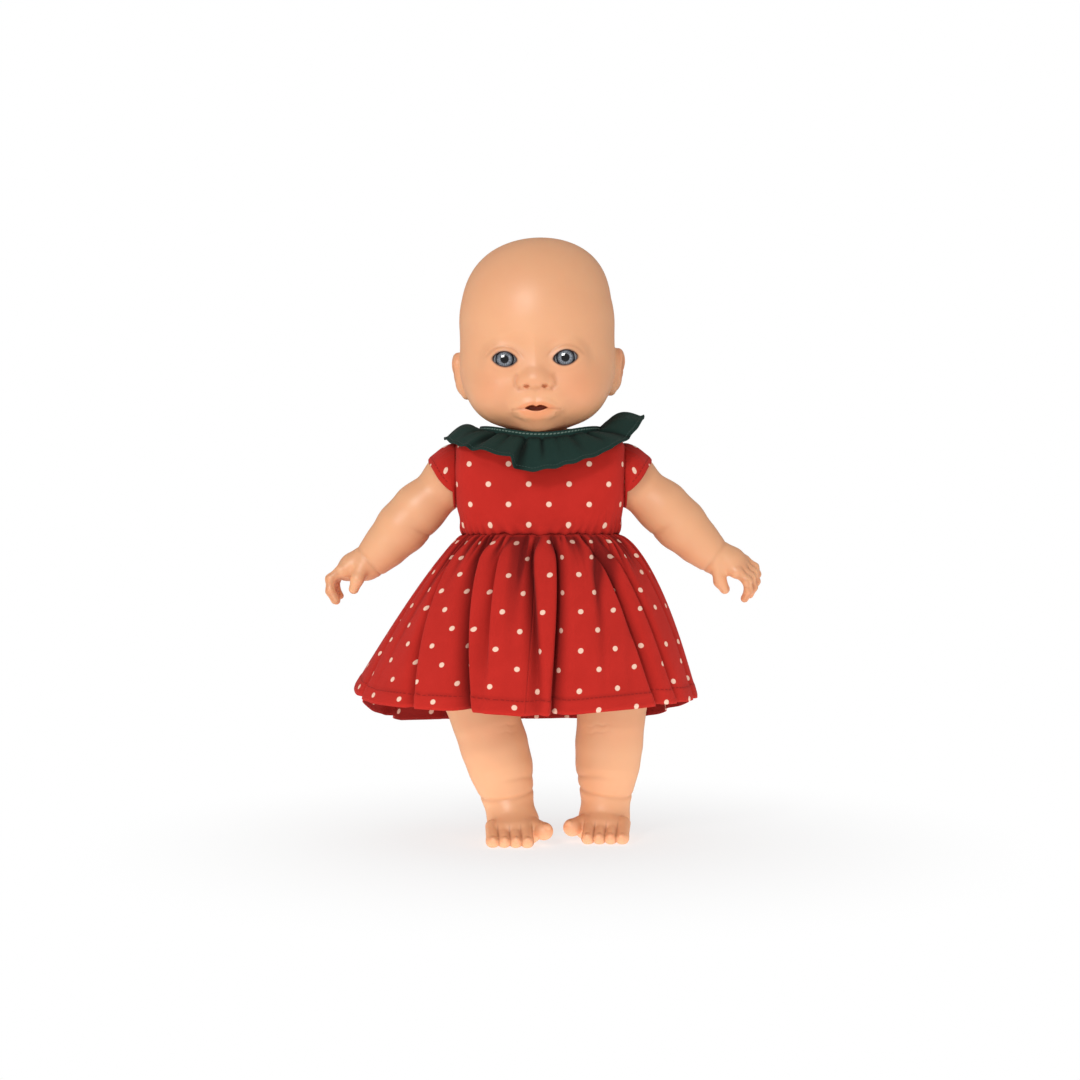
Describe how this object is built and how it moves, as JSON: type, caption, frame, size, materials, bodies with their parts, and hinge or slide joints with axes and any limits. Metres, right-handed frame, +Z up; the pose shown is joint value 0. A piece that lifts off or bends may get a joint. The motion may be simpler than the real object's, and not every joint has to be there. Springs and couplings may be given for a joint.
{
  "type": "baby doll",
  "caption": "Soft-bodied standing baby doll with a hollow moulded head and limbs on turning disc joints, in a gathered dress with a fluted collar",
  "frame": {"origin": "on the ground, under the middle of the doll's bounding box", "axes": "+Z up from the soles to the crown; -Y the way the face looks; +X towards the doll's own left hand"},
  "size_m": [0.2645, 0.155, 0.36],
  "materials": {
    "skin_vinyl": "soft vinyl with a low sheen",
    "eye_white": "polished white acrylic",
    "iris": "printed grey-blue iris with a dark rim",
    "clear_acrylic": "clear polished acrylic",
    "red_cotton": "plain woven cotton with small cream dots",
    "green_cotton": "plain woven dark green cotton",
    "body_cloth": "brushed flesh-coloured cotton",
    "stuffing": "loose polyester fibre",
    "white_plastic": "plain moulded nylon"
  },
  "bodies": {
    "torso": {"body_cover": "body_cloth", "body_stuffing": "stuffing", "neck_tie": "white_plastic", "dress_bodice": "red_cotton", "back_placket": "red_cotton", "back_snap_1": "white_plastic", "back_snap_2": "white_plastic", "back_snap_3": "white_plastic", "collar_band": "green_cotton", "collar_ruffle": "green_cotton", "dress_skirt": "red_cotton"},
    "head": {"head_shell": "skin_vinyl", "left_eye_white": "eye_white", "right_eye_white": "eye_white", "left_iris": "iris", "right_iris": "iris", "left_eye_dome": "clear_acrylic", "right_eye_dome": "clear_acrylic"},
    "left_arm": {"left_arm": "skin_vinyl", "left_arm_joint_stud": "white_plastic", "left_arm_lock_washer": "white_plastic", "left_sleeve": "red_cotton"},
    "right_arm": {"right_arm": "skin_vinyl", "right_arm_joint_stud": "white_plastic", "right_arm_lock_washer": "white_plastic", "right_sleeve": "red_cotton"},
    "left_leg": {"left_leg": "skin_vinyl", "left_leg_joint_stud": "white_plastic", "left_leg_lock_washer": "white_plastic"},
    "right_leg": {"right_leg": "skin_vinyl", "right_leg_joint_stud": "white_plastic", "right_leg_lock_washer": "white_plastic"}
  },
  "joints": [
    {"name": "neck_turn", "type": "hinge", "parent": "torso", "child": "head", "pos_m": [0, 0, 0.234], "axis": [-0.0262, 0, 0.9997], "range_deg": [-60, 60]},
    {"name": "left_shoulder", "type": "hinge", "parent": "torso", "child": "left_arm", "pos_m": [0.049, 0.002, 0.2165], "axis": [-1, 0, 0], "range_deg": [-60, 120]},
    {"name": "right_shoulder", "type": "hinge", "parent": "torso", "child": "right_arm", "pos_m": [-0.049, 0.002, 0.2165], "axis": [-1, 0, 0], "range_deg": [-60, 120]},
    {"name": "left_hip", "type": "hinge", "parent": "torso", "child": "left_leg", "pos_m": [0.0245, 0.002, 0.128], "axis": [-1, 0, 0], "range_deg": [-25, 90], "deforming": ["dress_skirt"]},
    {"name": "right_hip", "type": "hinge", "parent": "torso", "child": "right_leg", "pos_m": [-0.0245, 0.002, 0.128], "axis": [-1, 0, 0], "range_deg": [-25, 90], "deforming": ["dress_skirt"]}
  ]
}
